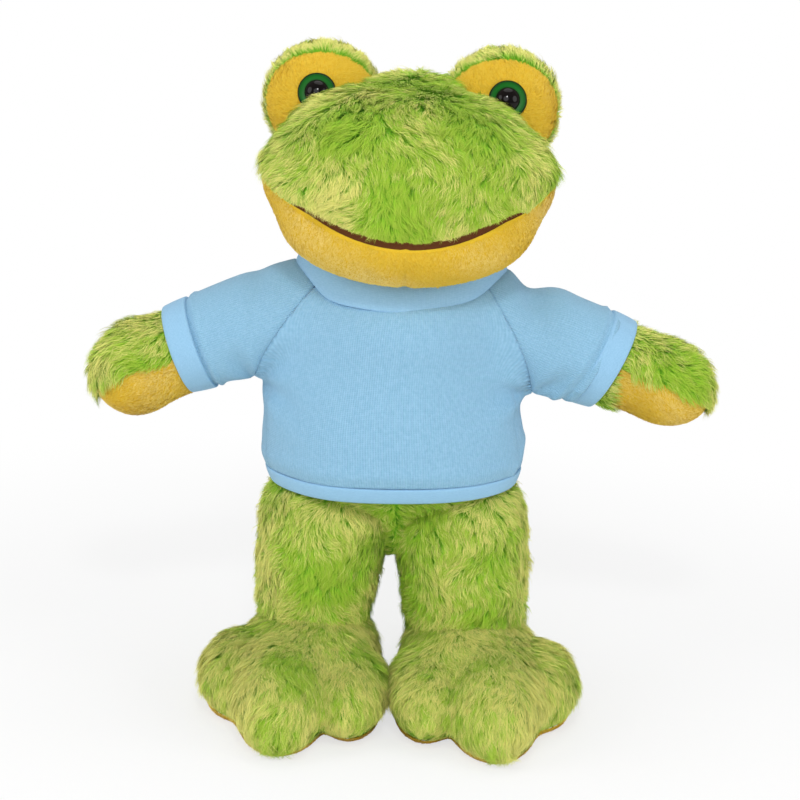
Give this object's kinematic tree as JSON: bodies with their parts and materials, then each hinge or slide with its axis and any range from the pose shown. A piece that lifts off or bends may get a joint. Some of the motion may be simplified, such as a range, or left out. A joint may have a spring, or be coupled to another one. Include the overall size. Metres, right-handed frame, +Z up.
{
  "type": "plush frog",
  "caption": "Stuffed plush frog standing on two big three-toed feet, arms out, in a short-sleeved knitted T-shirt, with domed plastic eyes on raised bumps and a wide smiling mouth.",
  "frame": {"origin": "on the floor, under the middle of the frog's box", "axes": "+Z up, -Y the way the frog faces, +X to the frog's left"},
  "size_m": [0.3484, 0.1666, 0.3725],
  "materials": {
    "long_plush": "long green pile with straw-green tips",
    "yellow_velour": "short golden-yellow pile",
    "brown_felt": "matt brown felt",
    "shirt_knit": "light-blue fine jersey knit",
    "shirt_rib": "light-blue doubled knit band",
    "filling": "loose white fibre",
    "green_plastic": "glossy clear green",
    "black_plastic": "glossy black",
    "white_plastic": "matt white"
  },
  "bodies": {
    "torso": {"body_skin": "long_plush", "body_filling": "filling", "shirt_front": "shirt_knit", "shirt_back": "shirt_knit", "shirt_hem_band": "shirt_rib", "shirt_neckband": "shirt_rib"},
    "neck": {"neck_skin": "yellow_velour", "neck_filling": "filling"},
    "head": {"head_skin": "long_plush", "chin_panel": "yellow_velour", "mouth_lining": "brown_felt", "head_filling": "filling", "eye_bump_left": "long_plush", "eye_patch_left": "yellow_velour", "eye_bump_filling_left": "filling", "eye_iris_left": "green_plastic", "eye_pupil_left": "black_plastic", "eye_washer_left": "white_plastic", "eye_bump_right": "long_plush", "eye_patch_right": "yellow_velour", "eye_bump_filling_right": "filling", "eye_iris_right": "green_plastic", "eye_pupil_right": "black_plastic", "eye_washer_right": "white_plastic"},
    "arm_left": {"arm_skin_left": "long_plush", "arm_palm_left": "yellow_velour", "arm_filling_left": "filling", "shirt_sleeve_left": "shirt_knit", "shirt_cuff_left": "shirt_rib"},
    "arm_right": {"arm_skin_right": "long_plush", "arm_palm_right": "yellow_velour", "arm_filling_right": "filling", "shirt_sleeve_right": "shirt_knit", "shirt_cuff_right": "shirt_rib"},
    "leg_left": {"leg_skin_left": "long_plush", "leg_filling_left": "filling", "foot_skin_left": "long_plush", "foot_filling_left": "filling", "foot_sole_left": "yellow_velour"},
    "leg_right": {"leg_skin_right": "long_plush", "leg_filling_right": "filling", "foot_skin_right": "long_plush", "foot_filling_right": "filling", "foot_sole_right": "yellow_velour"}
  },
  "joints": [
    {"name": "head_turn", "type": "hinge", "parent": "torso", "child": "neck", "pos_m": [0, 0.02968, 0.25], "axis": [0, 0, 1], "range_deg": [-35, 35]},
    {"name": "head_nod", "type": "hinge", "parent": "neck", "child": "head", "pos_m": [0, 0.02968, 0.25], "axis": [1, 0, 0], "range_deg": [-14, 5]},
    {"name": "shoulder_left", "type": "hinge", "parent": "torso", "child": "arm_left", "pos_m": [0.081, 0.02968, 0.216], "axis": [0, -1, 0], "range_deg": [-25, 38]},
    {"name": "shoulder_right", "type": "hinge", "parent": "torso", "child": "arm_right", "pos_m": [-0.081, 0.02968, 0.216], "axis": [0, 1, 0], "range_deg": [-25, 38]},
    {"name": "hip_left", "type": "hinge", "parent": "torso", "child": "leg_left", "pos_m": [0.04, 0.02968, 0.1], "axis": [-1, 0, 0], "range_deg": [-14, 60]},
    {"name": "hip_right", "type": "hinge", "parent": "torso", "child": "leg_right", "pos_m": [-0.04, 0.02968, 0.1], "axis": [-1, 0, 0], "range_deg": [-14, 60]}
  ]
}
